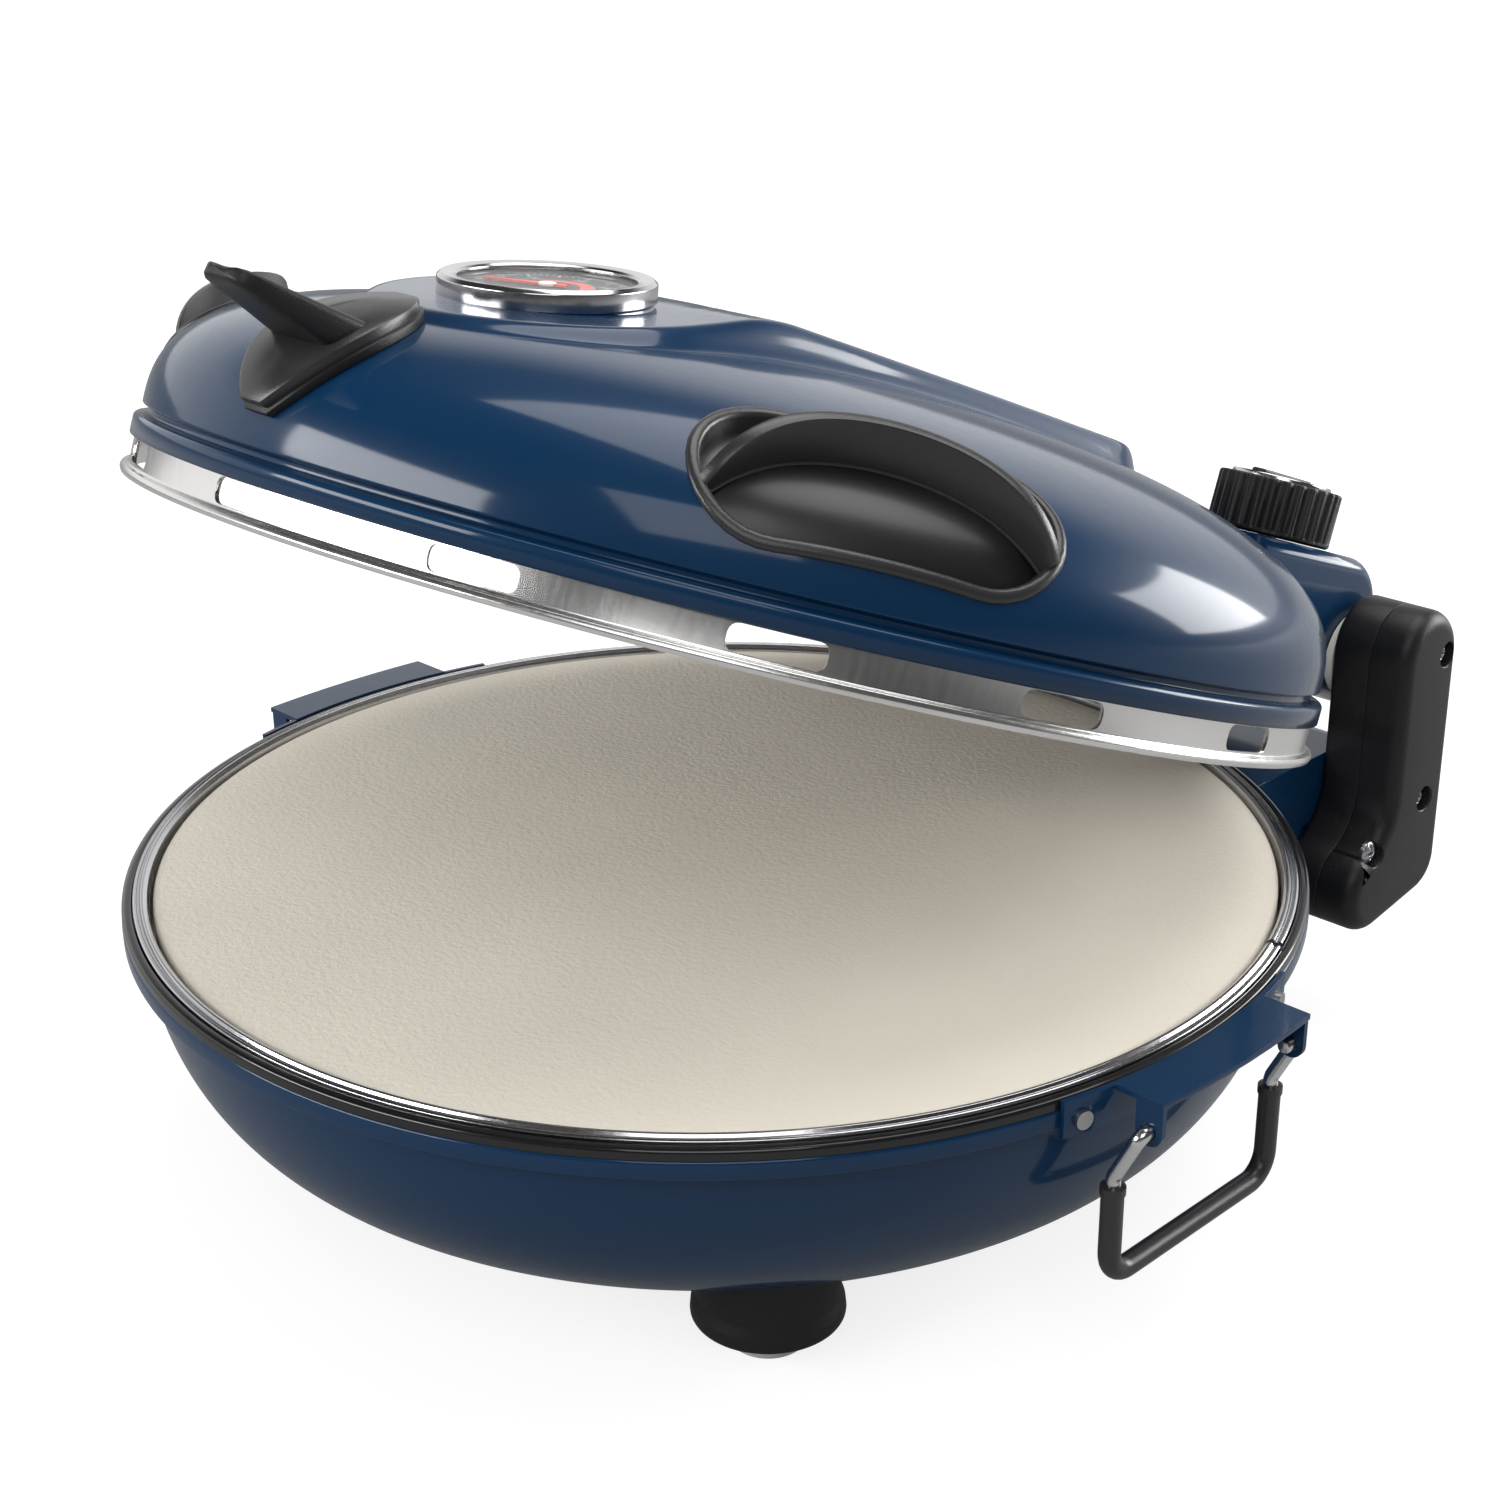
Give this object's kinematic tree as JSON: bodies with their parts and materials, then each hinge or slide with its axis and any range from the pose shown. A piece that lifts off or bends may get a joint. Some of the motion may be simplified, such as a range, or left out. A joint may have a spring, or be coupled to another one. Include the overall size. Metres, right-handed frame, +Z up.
{
  "type": "countertop pizza oven",
  "caption": "Round electric pizza maker: a stone in a steel pan under a domed, heated lid on rear arms, with side bails, windows, a dial thermometer and a knob.",
  "frame": {"origin": "on the table under the middle of the part, with the lid standing open at its rest angle", "axes": "+Z up, +X to the right as the user faces it, +Y to the rear where the lid hinges"},
  "size_m": [0.358, 0.372, 0.2719],
  "materials": {
    "navy_enamel": "glossy enamel",
    "black_enamel": "glossy enamel",
    "bright_trim": "polished",
    "bright_steel": "bright rolled",
    "reflector_steel": "satin",
    "stone": "matt, fine grained",
    "element_sheath": "dull, heat darkened",
    "plain_steel": "bright drawn",
    "screw_steel": "plated",
    "black_plastic": "fine moulded texture",
    "pale_pad": "matt",
    "bearing_plastic": "smooth",
    "terminal_ceramic": "unglazed",
    "dial_black": "matt with printed plain scale",
    "needle_red": "satin",
    "clear_glass": "clear",
    "dark_glass": "tinted"
  },
  "bodies": {
    "base": {"base_pan": "navy_enamel", "base_trim_ring": "bright_trim", "base_rim_band": "black_enamel", "base_reflector": "reflector_steel", "pizza_stone": "stone", "lower_element": "element_sheath", "lower_element_clips": "plain_steel", "front_right_foot": "black_plastic", "front_left_foot": "black_plastic", "rear_right_foot": "black_plastic", "rear_left_foot": "black_plastic", "foot_pads": "pale_pad", "foot_screws": "screw_steel", "right_handle_bracket": "navy_enamel", "left_handle_bracket": "navy_enamel", "bracket_screws": "screw_steel", "hinge_base": "navy_enamel", "right_arm_shell": "black_plastic", "left_arm_shell": "black_plastic", "right_arm_cover": "black_plastic", "left_arm_cover": "black_plastic", "arm_screws": "screw_steel", "right_hinge_pin": "plain_steel", "left_hinge_pin": "plain_steel", "right_washer": "bearing_plastic", "left_washer": "bearing_plastic", "cord_gland": "black_plastic", "base_terminals": "terminal_ceramic"},
    "lid": {"lid_shell": "navy_enamel", "lid_skirt_ring": "bright_steel", "lid_reflector": "reflector_steel", "upper_element": "element_sheath", "upper_element_clips": "plain_steel", "hinge_housing": "navy_enamel", "housing_cover": "black_plastic", "right_bush": "bearing_plastic", "left_bush": "bearing_plastic", "thermostat": "terminal_ceramic", "lid_terminals": "terminal_ceramic", "thermometer_case": "plain_steel", "thermometer_bezel": "bright_trim", "thermometer_dial": "dial_black", "thermometer_glass": "clear_glass", "right_window_frame": "black_plastic", "left_window_frame": "black_plastic", "right_window_glass": "dark_glass", "left_window_glass": "dark_glass", "front_handle": "black_plastic", "handle_screws": "screw_steel"},
    "thermometer_needle": {"thermometer_needle": "needle_red"},
    "knob": {"control_shaft": "plain_steel", "thermostat_knob": "black_plastic", "knob_cap": "bright_trim"},
    "right_bail": {"right_bail_wire": "plain_steel", "right_bail_sleeve": "black_plastic"},
    "left_bail": {"left_bail_wire": "plain_steel", "left_bail_sleeve": "black_plastic"}
  },
  "joints": [
    {"name": "lid_hinge", "type": "hinge", "parent": "base", "child": "lid", "pos_m": [0, 0.169, 0.114], "axis": [-1, 0, 0], "range_deg": [-20.5, 65]},
    {"name": "knob_turn", "type": "hinge", "parent": "lid", "child": "knob", "pos_m": [0.057, 0.16025, 0.1477], "axis": [0, 0.3502, 0.9367], "range_deg": [-270, 0]},
    {"name": "needle_turn", "type": "hinge", "parent": "lid", "child": "thermometer_needle", "pos_m": [0, -0.07516, 0.24906], "axis": [0, 0.0958, 0.9954], "range_deg": [-250, 20], "stiffness_Nm_per_rad": 0.001},
    {"name": "right_bail_swing", "type": "hinge", "parent": "base", "child": "right_bail", "pos_m": [0.1735, -0.021, 0.078], "axis": [0, -1, 0], "range_deg": [0, 95]},
    {"name": "left_bail_swing", "type": "hinge", "parent": "base", "child": "left_bail", "pos_m": [-0.1735, -0.021, 0.078], "axis": [0, 1, 0], "range_deg": [0, 95]}
  ]
}
